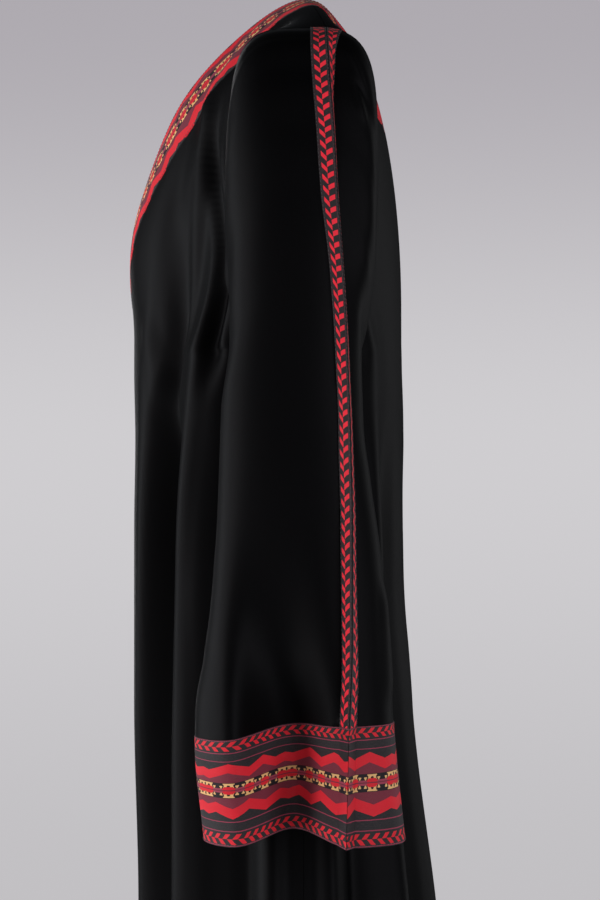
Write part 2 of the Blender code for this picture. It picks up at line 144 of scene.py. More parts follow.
# Half a ring for each place along the sleeve: 91 points from outer seam to underarm seam.
def halfRings(flow, panel, steps=90):
    ring = Ring(*(np.asarray(x)[:, None] for x in ringAt(np.atleast_1d(flow))))
    middle, reach = (ring.front + ring.back) / 2, (ring.back - ring.front) / 2
    start = np.arcsin(((ring.seam - middle) / reach) ** (ring.square / 2))
    end = -np.pi if panel == "front" else np.pi
    angle = blend(start, end, np.linspace(0, 1, steps + 1))
    power = 2 / np.where(np.cos(angle) > 0, ring.square, shape["sole"])
    up = np.copysign(np.abs(np.cos(angle)) ** power, np.cos(angle))
    along = np.copysign(np.abs(np.sin(angle)) ** power, np.sin(angle))
    fine = np.stack([
        (ring.outerX + ring.innerX) / 2 + (ring.outerX - ring.innerX) / 2 * up,
        middle + reach * along,
        (ring.outerZ + ring.innerZ) / 2 + (ring.outerZ - ring.innerZ) / 2 * up,
    ], -1)
    steps = np.linalg.norm(np.diff(fine, axis=1), axis=2)
    run = np.concatenate([np.zeros((len(fine), 1)), np.cumsum(steps, 1)], 1)
    return fine, run


def pick(fine, run, goal):
    return np.stack([np.interp(goal, run, fine[:, k]) for k in range(3)], -1)


# Where the columns of a sleeve panel cross each ring: the strip's own, then the rest evenly.
def sleeveShares(flow, panel, stripColumns, columns):
    ring = ringAt(np.atleast_1d(flow))
    length = halfRings(flow, panel)[1][:, -1]
    first = (ring.stripFront if panel == "front" else ring.stripBack) / length
    strip = first[:, None] * np.linspace(0, 1, stripColumns + 1)[:-1]
    rest = blend(first[:, None], 1.0, np.linspace(0, 1, columns + 1))
    return np.concatenate([strip, rest], 1), first


def sleeveFoldAt(y, z):
    out = 0.0
    for fold in sleeveFolds:
        grown = smooth((fold.zTop - z) / (fold.zTop - shape["cuffHem"]))
        across = blend(fold.yTop, fold.yHem, grown)
        out = out + fold.depth * grown ** 2 * bump((y - across) / fold.spread)
    return out


def seamRidge(ring, panel, share, first):
    frontFall = np.sqrt(np.maximum(0, shape["trimWidth"] ** 2 - ring.stripFront ** 2))
    backFall = np.sqrt(np.maximum(0, shape["trimWidth"] ** 2 - ring.stripBack ** 2))
    foot = 0.0 * frontFall if panel == "front" else frontFall - backFall
    strip = blend(frontFall, foot, share / first)
    return np.where(share < first, strip, foot * (1 - smooth((share - first) / 0.45)))


# A sleeve panel's rows of points with the solids' form.
def sleeveForm(flow, panel, stripColumns, columns):
    shares, first = sleeveShares(flow, panel, stripColumns, columns)
    fine, run = halfRings(flow, panel)
    points = np.stack([pick(f, r, s * r[-1]) for f, r, s in zip(fine, run, shares)])
    ring = Ring(*(x[:, None] for x in ringAt(flow)))
    flow, first = flow[:, None], first[:, None]
    x, y, z = (points[..., k].copy() for k in range(3))
    outside = smooth((x - (ring.outerX + ring.innerX) / 2) / ((ring.outerX - ring.innerX) / 2) + 0.1)
    push = sleeveFoldAt(y, z) + seamRidge(ring, panel, shares, first)
    hem = smooth(flow - cuffRing)
    x += push * outside * smooth(flow / 2)
    tilt = smooth(flow / cuffRing) ** 2 * (1 - 0.7 * hem)
    z += shape["cuffTilt"] * tilt * (0.5 - smooth((0.02 - y) / 0.08))
    z += shape["cuffLift"] * hem * bump((y - sleeveFolds[0].yHem) / 0.05)
    x -= shape["cuffLean"] * hem * smooth((-0.01 - y) / 0.04)
    return np.stack([x, y, z], -1), shares


@lru_cache(maxsize=None)
def armholeLine(panel):
    fine, run = halfRings(0.0, panel)
    return fine[0], run[0]


def armhole(panel, level):
    fine, run = armholeLine(panel)
    return pick(fine, run, (1 - level) * run[-1])


# The heights of the rows beside the armhole: the solids' own, or finer ones.
def armholeLevels(panel, stripColumns=1, columns=None):
    return 1 - sleeveShares(0.0, panel, stripColumns, columns or shape["sleeveColumns"] - 1)[0][0, ::-1]


def climb(level):
    return (shape["crest"] - shape["underarm"]) * np.sin(np.pi / 2 * level ** 1.5)


def sag(across):
    tip = armholeLevels("front")[shape["tipRow"]]
    return climb(tip) / (1 - tip) ** 1.5 * (1 - across ** 6)


# Half the body with no folds: across is 0 at the centre line and 1 at the side seam or armhole,
# level -1 at the hem, 0 at the underarm and 1 at the shoulder seam.
def bodyBare(panel, across, level):
    across, level = np.broadcast_arrays(np.asarray(across, float), np.asarray(level, float))
    forward = -1 if panel == "front" else 1
    turn = across * np.pi / 2
    low, high = np.minimum(level, 0), np.clip(level, 0, 1)
    z = blend(shape["underarm"], -shape["length"], -low) - sag(across) * (1 + low) ** 3
    depth = forward * sectionAt(panel, z)
    lower = [sectionAt("halfWidth", z) * np.sin(turn), blend(shape["sideSeamY"], depth, np.cos(turn)), z]
    edge = armhole(panel, high)
    height = shape["underarm"] + climb(high)
    middle = height - sag(0.0) * (1 - high) ** 1.5
    rise = np.clip((middle - shape["underarm"]) / (shape["crest"] - shape["underarm"]), 0, 1)
    power = 0.55 if panel == "front" else 0.38
    depth = forward * getattr(bodySections[-1], panel) * (1 - rise ** 2) ** power
    if panel == "front":
        depth = depth * (1 + shape["bust"] * bump((middle - shape["bustZ"]) / shape["bustReach"]))
    out = blend(np.sin(turn), across, high ** 2)
    curved = np.clip(1 - out * out, 0, 1) ** blend(0.5, 1.0, smooth(high / 0.4))
    profile = blend(curved, 1 - out, smooth((high - 0.6) / 0.4))
    seam = blend(shape["sideSeamY"], shape["sideSeamHighY"], smooth(high))
    side = blend(seam, edge[..., 1], out ** 5)
    upper = [
        edge[..., 0] * out,
        blend(side, depth, profile),
        blend(height, edge[..., 2], out * out) - sag(across) * (1 - high) ** 1.5,
    ]
    return np.where(level[..., None] <= 0, np.stack(lower, -1), np.stack(upper, -1))


def foldAt(panel, across, level):
    z = np.where(level < 0, blend(shape["underarm"], -shape["length"], -level), shape["underarm"])
    low = (shape["underarm"] - z) / (shape["underarm"] + shape["length"])
    toMiddle = smooth((shape["underarm"] - z) / (shape["underarm"] - shape["foldMiddle"]))
    toHem = smooth((shape["foldMiddle"] - z) / (shape["foldMiddle"] + shape["length"]))
    out, rows = 0.0, np.linspace(0, 1, 16)
    for fold in bodyFolds:
        if fold.panel == panel:
            above = level > 0
            below = curve(rows, blend(fold.top, fold.foot, rows ** (1 / 3)), low)
            place = np.where(above, blend(fold.top, fold.shoulder, smooth(level / 0.7)), below)
            size = blend(blend(fold.high, fold.middle, toMiddle), fold.hem, toHem)
            yoke = blend(fold.high, fold.yoke, smooth(level / 0.5)) * (1 - smooth((level - 0.6) / 0.3))
            out = out + np.where(above, yoke, size) * bump((across - place) / fold.spread)
    return out * np.where(across < 0.9, 1.0, smooth((1 - across) / 0.1))


# Smaller creases, placed one by one: ridges, and troughs with a depth below 0. A row says the depth,
# the width, how many times wider the far end is, and the path, in pairs of place and height. On
# the body the place runs from -1, the right side seam, to 1, the left. On a sleeve it runs from
# -1, the underarm, round the front to the outer seam at 0 and round the back to 1, and the
# height is the sleeve's flow from 0 at the armhole to 11 at the cuff's hem.
creases = {
    "front": [
        # left half, as the photo shows it
        (0.0030, 0.010, 1.3,
         [(.28, -.041), (.36, -.072), (.435, -.105), (.46, -.15), (.46, -.22), (.465, -.254),
          (.48, -.288), (.47, -.33)]),
        (0.0030, 0.010, 1.2,
         [(.50, -.100), (.555, -.122), (.635, -.158), (.72, -.193), (.775, -.225), (.81, -.257),
          (.785, -.29)]),
        (-0.0090, 0.014, 1.1,
         [(.46, -.095), (.49, -.128), (.53, -.155), (.575, -.180), (.63, -.214), (.66, -.248),
          (.665, -.30), (.63, -.35)]),
        (-0.0030, 0.028, 1.1, [(.34, -.12), (.35, -.16), (.365, -.22), (.365, -.29), (.36, -.35)]),
        (0.0026, 0.011, 1.3, [(.675, -.050), (.71, -.070), (.728, -.102), (.717, -.145)]),
        (0.0040, 0.016, 1.8,
         [(.633, -.24), (.58, -.34), (.55, -.42), (.53, -.50), (.53, -.75), (.50, -1.05)]),
        (0.0028, 0.009, 1.2,
         [(.863, -.055), (.888, -.081), (.92, -.114), (.915, -.15), (.89, -.19)]),
        (-0.0035, 0.013, 1.6,
         [(.86, -.13), (.782, -.175), (.736, -.223), (.683, -.269), (.62, -.33)]),
        (-0.0085, 0.013, 1.2,
         [(.90, -.085), (.905, -.13), (.90, -.165), (.90, -.20), (.91, -.235), (.90, -.27),
          (.86, -.32)]),
        (0.0022, 0.014, 1.5, [(.22, -.255), (.30, -.30), (.34, -.36), (.35, -.43)]),
        # right half, much the same
        (0.0031, 0.009, 1.3,
         [(-.29, -.045), (-.36, -.075), (-.42, -.105), (-.45, -.155), (-.455, -.22),
          (-.47, -.29)]),
        (0.0028, 0.011, 1.2,
         [(-.52, -.105), (-.60, -.140), (-.69, -.175), (-.75, -.215), (-.78, -.26)]),
        (-0.0080, 0.014, 1.1,
         [(-.47, -.105), (-.51, -.140), (-.57, -.175), (-.62, -.215), (-.65, -.26), (-.63, -.32)]),
        (-0.0026, 0.028, 1.1, [(-.35, -.14), (-.37, -.22), (-.36, -.32)]),
        (0.0027, 0.012, 1.4, [(-.66, -.055), (-.70, -.080), (-.715, -.115), (-.70, -.15)]),
        (0.0038, 0.015, 1.9,
         [(-.60, -.25), (-.56, -.36), (-.53, -.46), (-.52, -.60), (-.50, -.85), (-.47, -1.1)]),
        (0.0026, 0.009, 1.3, [(-.86, -.060), (-.885, -.090), (-.91, -.125), (-.90, -.165)]),
        (-0.0033, 0.014, 1.5,
         [(-.85, -.14), (-.79, -.18), (-.73, -.235), (-.66, -.29), (-.60, -.35)]),
        (-0.0080, 0.013, 1.2,
         [(-.90, -.09), (-.905, -.14), (-.90, -.18), (-.905, -.22), (-.90, -.26), (-.87, -.31)]),
    ],
    "back": [
        (0.0040, 0.018, 1.8, [(.55, -.30), (.53, -.45), (.50, -.62), (.49, -.90), (.47, -1.15)]),
        (-0.0035, 0.015, 1.6, [(.84, -.13), (.76, -.19), (.68, -.26), (.60, -.34)]),
        (0.0028, 0.012, 1.4, [(.70, -.06), (.735, -.10), (.74, -.16), (.70, -.22)]),
        (0.0030, 0.016, 1.6, [(.12, -.30), (.10, -.45), (.13, -.62)]),
        (0.0038, 0.016, 2.0, [(-.50, -.27), (-.52, -.42), (-.50, -.60), (-.47, -.88)]),
        (-0.0030, 0.014, 1.5, [(-.86, -.15), (-.79, -.21), (-.70, -.28), (-.63, -.37)]),
        (0.0025, 0.011, 1.5, [(-.68, -.07), (-.72, -.12), (-.71, -.18)]),
    ],
    "sleeveLeft": [
        (0.0022, 0.009, 1.3, [(.03, 1.2), (.08, 1.55), (.15, 1.9)]),
        (0.0020, 0.008, 1.4, [(.05, 1.7), (.10, 2.05), (.15, 2.5)]),
        (0.0025, 0.016, 1.6, [(.26, 8.2), (.28, 9.0), (.28, 9.9)]),
        (0.0022, 0.013, 1.5, [(-.74, 1.6), (-.68, 2.6), (-.61, 3.6)]),
        (-0.0016, 0.020, 1.4, [(-.60, 3.4), (-.66, 4.8), (-.64, 6.4), (-.68, 8.2)]),
    ],
    "sleeveRight": [
        (0.0020, 0.009, 1.4, [(.04, 1.3), (.09, 1.7), (.14, 2.1)]),
        (0.0024, 0.015, 1.6, [(.30, 7.8), (.31, 8.8), (.29, 9.8)]),
        (0.0024, 0.012, 1.6, [(-.71, 1.8), (-.66, 2.7), (-.60, 3.9)]),
        (-0.0026, 0.015, 1.4, [(-.62, 3.0), (-.65, 4.6), (-.67, 6.6)]),
    ],
}

cloth = dict(
    frontColumns=90, hemRows=180, stripColumns=4, columns=60, sleeveRows=140, cuffRows=30,
    bandColumns=18, crepeWall=0.0013, printWall=0.0018, trimWall=0.0008, seam=0.0003,
    metresAcross=[(-1.45, .41), (-1.05, .345), (-.78, .285), (-.6, .262), (-.256, .25), (.02, .21)],
    metresAround=0.19, metresFlow=0.0545, creaseEnd=0.25, trimGap=0.0002, edgeRound=0.8,
    bodyPlace=(0.3, 0.5, 1.5), sleevePlace=0.2, cuffAround=1.057, cuffUp=0.093,
)


def creasesAt(part, across, height):
    if part in ("front", "back"):
        heights, metres = zip(*cloth["metresAcross"])
        rise = 1.0
    else:
        heights, metres, rise = (0.0,), (cloth["metresAround"],), cloth["metresFlow"]
    widen = lambda h: np.interp(h, heights, metres)
    s, t = across * widen(height), height * rise
    out = np.zeros(s.shape)
    for depth, width, grow, path in creases[part]:
        path = np.array(path, float)
        path = np.stack([path[:, 0] * widen(path[:, 1]), path[:, 1] * rise], 1)
        steps = np.linalg.norm(np.diff(path, axis=0), axis=1)
        run = np.concatenate([[0.0], np.cumsum(steps)]) / steps.sum()
        nearest, along = np.full(s.shape, 9.0), np.zeros(s.shape)
        for n, (a, b) in enumerate(zip(path, path[1:])):
            d = b - a
            f = np.clip(((s - a[0]) * d[0] + (t - a[1]) * d[1]) / (d @ d), 0, 1)
            away = np.hypot(s - a[0] - f * d[0], t - a[1] - f * d[1])
            along = np.where(away < nearest, blend(run[n], run[n + 1], f), along)
            nearest = np.minimum(away, nearest)
        width = width * blend(1.0, grow, along)
        ends = smooth(along / cloth["creaseEnd"]) * smooth((1 - along) / cloth["creaseEnd"])
        out += depth * bump(nearest / width) * ends
    return out


# Half of the body with its folds and creases: side is 1 for the left half and -1 for the right.
def bodySurface(panel, across, level, side):
    across, level = np.broadcast_arrays(across, level)
    bare, step = partial(bodyBare, panel), 0.002
    points = bare(across, level)
    u = bare(np.minimum(1, across + step), level) - bare(np.maximum(0, across - step), level)
    v = bare(across, np.minimum(1, level + step)) - bare(across, np.maximum(-1, level - step))
    normal = np.cross(u, v)
    normal /= np.linalg.norm(normal, axis=-1, keepdims=True) * (-1 if panel == "back" else 1)
    normal[..., 0] = np.where(across < 1e-9, 0.0, normal[..., 0])
    held = smooth((1 - across) / 0.07) * smooth((1 - level) / 0.08)
    out = foldAt(panel, across, level) + held * creasesAt(panel, side * across, points[..., 2])
    points = points + normal * out[..., None]
    points[..., 0] *= side
    return points


def sleeveSurface(flow, panel, side, name):
    points, shares = sleeveForm(flow, panel, cloth["stripColumns"], cloth["columns"])
    across, along = np.gradient(points, axis=1), np.gradient(points, axis=0)
    normal = np.cross(across, along) * (1 if panel == "front" else -1)
    normal /= np.linalg.norm(normal, axis=-1, keepdims=True)
    turn = shares * (-1 if panel == "front" else 1)
    height = np.broadcast_to(flow[:, None], turn.shape)
    held = smooth(shares / 0.10) * smooth((1 - shares) / 0.08) * smooth(height / 1.5)
    points = points + normal * (held * creasesAt("sleeve" + name, turn, height))[..., None]
    points[..., 0] *= side
    return points


# How far across the neck band's inner or outer edge lies at a level.
def bandEdge(panel, level, inner):
    level = np.asarray(level, float)
    if panel == "front":
        drop = shape["neckDepth"] if inner else -shape["underarm"]
        limit = shape["neckHalfWidth"] + (0 if inner else shape["bandWidth"])
        lean = (shape["neckHalfWidth"] + shape["bandWidth"]) / (-shape["underarm"] - shape["crest"])
        bend = shape["neckRounding"]
        low, high = np.zeros(level.shape), np.ones(level.shape)
        for _ in range(40):
            middle = (low + high) / 2
            point = bodyBare(panel, middle, level)
            line = lean * (point[..., 2] + drop)
            h = np.maximum(bend - np.abs(line - limit), 0) / bend
            inside = point[..., 0] < np.minimum(line, limit) - h * h * bend / 4
            low, high = np.where(inside, middle, low), np.where(inside, high, middle)
        return low
    foot = levelAt("back", shape["neckBack"]) if inner else armholeLevels("back")[shape["backBandRow"]]
    shoulder = bandEdge("front", 1.0, inner)
    return shoulder * np.sqrt(np.clip(1 - ((1 - level) / (1 - foot)) ** 2, 0, 1))


# The level at which the centre line lies so far below the shoulders.
def levelAt(panel, drop):
    low, high = 0.0, 1.0
    for _ in range(40):
        middle = (low + high) / 2
        low, high = (middle, high) if bodyBare(panel, 0.0, middle)[2] < -drop else (low, middle)
    return low


def runOf(points):
    steps = np.linalg.norm(np.diff(points, axis=0), axis=-1)
    return np.concatenate([[0.0], np.cumsum(steps)])


# Points in whole micrometres, by which pieces know the points that they share.
def keysOf(points):
    return np.round(points * 1e6).astype(np.int64)


# The normals of a sheet's points, found again by their keys.
def normalsAt(sheet, keys):
    known = {tuple(key): normal for key, normal in zip(sheet["keys"].tolist(), sheet["normals"])}
    return np.array([known[tuple(key)] for key in keys.tolist()])


# A sheet is grids of points with their places on the cloth. Equal points are one vertex.
def makeSheet(name, wall, grids):
    points, places, faces, start = [], [], [], 0
    for grid, place, flip in grids:
        rows, columns = grid.shape[:2]
        points.append(grid.reshape(-1, 3))
        places.append(place.reshape(-1, 2))
        ids = start + np.arange(rows * columns).reshape(rows, columns)
        quads = np.stack([ids[:-1, :-1], ids[:-1, 1:], ids[1:, 1:], ids[1:, :-1]], -1)
        quads = quads.reshape(-1, 4)
        faces.append(quads[:, ::-1] if flip else quads)
        start += rows * columns
    points, places, faces = (np.concatenate(part) for part in (points, places, faces))
    keys, first, merged = np.unique(keysOf(points), axis=0, return_index=True, return_inverse=True)
    faces, places = merged.reshape(-1)[faces], places[faces]
    return dict(name=name, wall=wall, points=points[first], keys=keys, faces=faces, places=places)


# The normal at each point, weighed by the angles of the faces that meet there.
def sheetNormals(sheet):
    points, faces = sheet["points"], sheet["faces"]
    total = np.zeros(points.shape)
    for n in range(4):
        here = points[faces[:, n]]
        ahead, behind = points[faces[:, (n + 1) % 4]] - here, points[faces[:, n - 1]] - here
        cross = np.cross(ahead, behind)
        size = np.linalg.norm(cross, axis=1)
        angle = np.arctan2(size, (ahead * behind).sum(1))
        size, angle = size[:, None], angle[:, None]
        weighed = np.where(size > 1e-14, cross / np.maximum(size, 1e-14) * angle, 0)
        np.add.at(total, faces[:, n], weighed)
    return total / np.maximum(np.linalg.norm(total, axis=1, keepdims=True), 1e-12)


# Pieces that meet share the step from the middle of the wall, so their edges stay parallel.
def shareNormals(sheets):
    own = [sheetNormals(sheet) for sheet in sheets]
    keys = np.concatenate([sheet["keys"] for sheet in sheets])
    inverse = np.unique(keys, axis=0, return_inverse=True)[1].reshape(-1)
    normals = np.concatenate(own)
    total = np.zeros((inverse.max() + 1, 3))
    np.add.at(total, inverse, normals)
    total /= np.maximum(np.linalg.norm(total, axis=1, keepdims=True), 1e-12)
    lean = np.bincount(inverse, (total[inverse] * normals).sum(1)) / np.bincount(inverse)
    total /= np.maximum(lean, 0.45)[:, None]
    at = 0
    for sheet in sheets:
        count = len(sheet["points"])
        sheet["normals"] = total[inverse[at:at + count]]
        at += count


# An object in the scene.
def putIn(name, data):
    made = bpy.data.objects.new(name, data)
    bpy.context.scene.collection.objects.link(made)
    return made


# A closed wall round a sheet, with rounded free edges set back from the neighbours'.
def makeWall(sheet, lift=0.0):
    points, normals, faces, places = map(sheet.get, ("points", "normals", "faces", "places"))
    count = len(points)
    a, b = faces.ravel(), np.roll(faces, -1, 1).ravel()
    corner = np.arange(faces.size).reshape(faces.shape)
    cornerA, cornerB = corner.ravel(), np.roll(corner, -1, 1).ravel()
    free = ~np.isin(a * count + b, b * count + a) & (a != b)
    a, b, cornerA, cornerB = a[free], b[free], cornerA[free], cornerB[free]
    inward = np.zeros(points.shape)
    along = points[b] - points[a]
    for v in (a, b):
        side = np.cross(normals[v], along)
        np.add.at(inward, v, side / np.maximum(np.linalg.norm(side, axis=1, keepdims=True), 1e-12))
    size = np.linalg.norm(inward, axis=1, keepdims=True)
    inward = np.where(size > 1e-9, inward / np.maximum(size, 1e-9), 0)
    drawn = points + inward * cloth["seam"]
    half = sheet["wall"] / 2
    layers = [
        drawn + normals * (lift + half),
        drawn + normals * (lift - half),
        drawn + normals * lift - inward * half * cloth["edgeRound"],
    ]
    edge = np.unique(np.concatenate([a, b]))
    place = np.full(count, -1)
    place[edge] = 2 * count + np.arange(len(edge))
    vertices = np.concatenate([layers[0], layers[1], layers[2][edge]])
    outer, inner = faces, (faces + count)[:, ::-1]
    upper, lower = [b, a, place[a], place[b]], [place[b], place[a], a + count, b + count]
    rims = [np.stack(upper, 1), np.stack(lower, 1)]
    flat = places.reshape(-1, 2)
    rimPlaces = np.stack([flat[cornerB], flat[cornerA], flat[cornerA], flat[cornerB]], 1)
    allFaces = np.concatenate([outer, inner, *rims])
    allPlaces = np.concatenate([places, places[:, ::-1], rimPlaces, rimPlaces])
    mesh = bpy.data.meshes.new(sheet["name"])
    whole = (allFaces != np.roll(allFaces, 1, 1)).all(1)
    mesh.from_pydata(vertices.tolist(), [], allFaces[whole].tolist())
    uv = mesh.uv_layers.new(name="cloth")
    uv.uv.foreach_set("vector", allPlaces[whole].astype(np.float32).ravel())
    mesh.shade_smooth()
    mesh.set_sharp_from_angle(angle=math.radians(50))
    return putIn(sheet["name"] + "Cloth", mesh)


# Small helpers for node trees. Those without a tree add to the one that their values are in.
def add(tree, kind, *values, **settings):
    made = tree.nodes.new(kind)
    for name, value in settings.items():
        setattr(made, name, value)
    for n, value in enumerate(values):
        if isinstance(value, bpy.types.NodeSocket):
            tree.links.new(value, made.inputs[n])
        elif value is not None:
            made.inputs[n].default_value = value
    return made


def calc(operation, *values):
    tree = next(v.id_data for v in values if isinstance(v, bpy.types.NodeSocket))
    return add(tree, "ShaderNodeMath", *values, operation=operation).outputs[0]


plus, minus, times = partial(calc, "ADD"), partial(calc, "SUBTRACT"), partial(calc, "MULTIPLY")
lessThan, moreThan = partial(calc, "LESS_THAN"), partial(calc, "GREATER_THAN")


# One colour over another, by a factor. A colour is a socket or three numbers.
def paint(factor, under, over):
    under, over = (c if isinstance(c, bpy.types.NodeSocket) else (*c, 1.0) for c in (under, over))
    spare = [None] * 5
    made = add(factor.id_data, "ShaderNodeMix", factor, *spare, under, over, data_type="RGBA")
    return made.outputs[2]


def newMaterial(name, fixed):
    made = bpy.data.materials.new(name)
    made.use_nodes = True
    shader = made.node_tree.nodes["Principled BSDF"]
    for key, value in fixed.items():
        shader.inputs[key].default_value = value
    return made, made.node_tree, shader


def noise(place, scale, detail=2.0, rough=0.5):
    made = add(place.id_data, "ShaderNodeTexNoise", place, None, scale, detail, rough)
    return made.outputs["Fac"]


# A cloth's colour, and its roughness and bump from one height between 0 and 1.
def dress(shader, colour, height, look):
    tree = shader.id_data
    uneven = plus(look["rough"], times(height, look["roughMore"]))
    raised = add(tree, "ShaderNodeBump", look["bump"], look["depth"])
    tree.links.new(height, raised.inputs["Height"])
    sockets = {"Base Color": colour, "Roughness": uneven, "Normal": raised.outputs[0]}
    for name, value in sockets.items():
        tree.links.new(value, shader.inputs[name])


crepe = dict(
    dark=(0.0003, 0.0003, 0.0004), light=(0.0011, 0.0011, 0.0013), rough=0.47, roughMore=0.16,
    grain=1500, pebble=420, cloud=7, bump=0.35, depth=0.00035, fixed={
        "Sheen Weight": 0.012, "Sheen Roughness": 0.30, "Sheen Tint": (0.85, 0.90, 1.0, 1.0),
        "Specular IOR Level": 0.045, "Specular Tint": (0.96, 0.93, 1.0, 1.0),
    },
)


def crepeMaterial():
    made, tree, shader = newMaterial("blackCrepe", crepe["fixed"])
    place = add(tree, "ShaderNodeTexCoord").outputs["Object"]
    grain, cloud = noise(place, crepe["grain"], 1.0), noise(place, crepe["cloud"], 3.0)
    pebble = noise(place, crepe["pebble"], 3.0, 0.6)
    mixed = plus(times(grain, 0.45), times(pebble, 0.55))
    tone = plus(times(mixed, 0.6), times(cloud, 0.5))
    dyed = paint(minus(tone, 0.05), crepe["dark"], crepe["light"])
    dress(shader, dyed, mixed, crepe)
    return made


# The print's colours and its charts, in print millimetres from its middle line. The near-black also
# paints the shadow in the trims' seams.
dye = dict(
    red=(0.53, 0.013, 0.024), trimRed=(0.70, 0.022, 0.040), maroon=(0.135, 0.020, 0.034),
    gold=(0.62, 0.36, 0.15), charcoal=(0.017, 0.016, 0.018), line=(0.24, 0.030, 0.060),
    # the near-black is the print's ink and also the painted shadow along the trims' seams
    edge=(0.048, 0.022, 0.027), rose=(0.26, 0.040, 0.070), ink=(0.010, 0.009, 0.011),
    # the lighter streak colour is painted thread sheen
    worn=(0.25, 0.14, 0.15),
)
zigzag = dict(middle=16.7, thick=8.3, repeat=79.5)
zigzag["upper"] = [
    (0, -3.3), (15, 2.9), (30, -3.2), (39.5, -1.0), (46, -2.8), (63.5, 3.4), (79.5, -3.3),
]
zigzag["lower"] = [
    (0, -3.0), (18.4, 3.2), (35.4, -1.3), (43, 0.7), (52, -2.2), (66.5, 3.1), (79.5, -3.0),
]
chevron = dict(
    # past the last distance here the strip's edges are painted near-black, a painted shadow in the seam
    repeat=9.3, share=0.42, lean=0.85, slide=0.4, reach=4.5, edge=(5.3, 5.75), rim=6.0,
)
cuffChevron = dict(
    repeat=8.5, share=0.45, lean=-0.80, middle=40.2, inner=4.1, outer=4.6,
    lines=[(26.0, 26.7), (33.6, 34.4), (45.6, 46.4)],
)
printLook = dict(
    rough=0.55, roughMore=0.2, bump=0.3, depth=0.0003, wobble=0.35, threads=(260.0, 2600.0, 1.0),
    # the last number: how strongly the painted thread sheen streaks show
    slub=900, wear=0.35,
    fixed={"Sheen Weight": 0.03, "Sheen Roughness": 0.4, "Specular IOR Level": 0.12},
)
# Steps of the small motif, from its middle line out: height, half width of the red, then the
# gold's inner and outer half widths, and the foot's.
motif = dict(half=6.6, stem=0.4, ground=1.85, places=(0.6, 17.4, 36.7, 45.3, 63.6), rows=[
    (0.00, 0.0, 9.0, 9.0, 9.0, 9.0),
    (0.40, 4.7, 9.0, 9.0, 9.0, 9.0),
    (1.85, 4.3, 9.0, 9.0, 5.5, 6.4),
    (2.50, 3.5, 3.5, 3.9, 5.1, 6.8),
    (3.20, 0.0, 1.3, 3.6, 4.8, 7.2),
    (4.10, 0.0, 0.9, 3.4, 9.0, 9.0),
    (4.70, 0.0, 0.0, 3.7, 9.0, 9.0),
    (5.40, 0.0, 0.0, 4.4, 9.0, 9.0),
    (6.15, 0.0, 9.0, 9.0, 9.0, 9.0),
])


def within(value, low, high):
    return times(moreThan(value, low), lessThan(value, high))


# Three columns of a chart of steps, read at a value.
def stepChart(value, rows, column, limit=10.0):
    chart = add(value.id_data, "ShaderNodeValToRGB", calc("DIVIDE", value, limit))
    chart.color_ramp.interpolation = "CONSTANT"
    stops = chart.color_ramp.elements
    while len(stops) < len(rows):
        stops.new(0.5)
    for n, row in enumerate(rows):
        stops[n].position = row[0] / limit
    for n, row in enumerate(rows):
        stops[n].color = (*(x / 10 for x in row[column:column + 3]), 1.0)
    split = add(value.id_data, "ShaderNodeSeparateColor", chart.outputs[0])
    return [times(split.outputs[k], 10.0) for k in range(3)]


# How far out a zigzag's middle stands, a part of the way along its repeat.
def zigzagAt(part, path):
    chart = add(part.id_data, "ShaderNodeFloatCurve", 1.0, part)
    line = chart.mapping.curves[0]
    points = [(x / zigzag["repeat"], 0.5 + y / 10) for x, y in path]
    line.points[0].location, line.points[1].location = points[0], points[-1]
    for point in points[1:-1]:
        line.points.new(*point)
    for point in line.points:
        point.handle_type = "VECTOR"
    chart.mapping.update()
    return times(minus(chart.outputs[0], 0.5), 10.0)


# Two rows of slanting blocks that lean to each other, set half a repeat apart.
def chevronAt(along, across, row, inner, outer):
    away = calc("ABSOLUTE", across)
    first = moreThan(across, 0.0)
    slid = plus(along, times(away, row["lean"]))
    phase = plus(calc("DIVIDE", slid, row["repeat"]), times(first, 0.5))
    block = lessThan(calc("FRACT", phase), row["share"])
    return times(block, within(across, -inner, outer))


# How far a point stands from the nearest motif along the row.
def nearestMotif(step):
    nearest = None
    for place in (*motif["places"], motif["places"][0] + zigzag["repeat"]):
        away = calc("ABSOLUTE", minus(step, place))
        nearest = away if nearest is None else calc("MINIMUM", nearest, away)
    return nearest


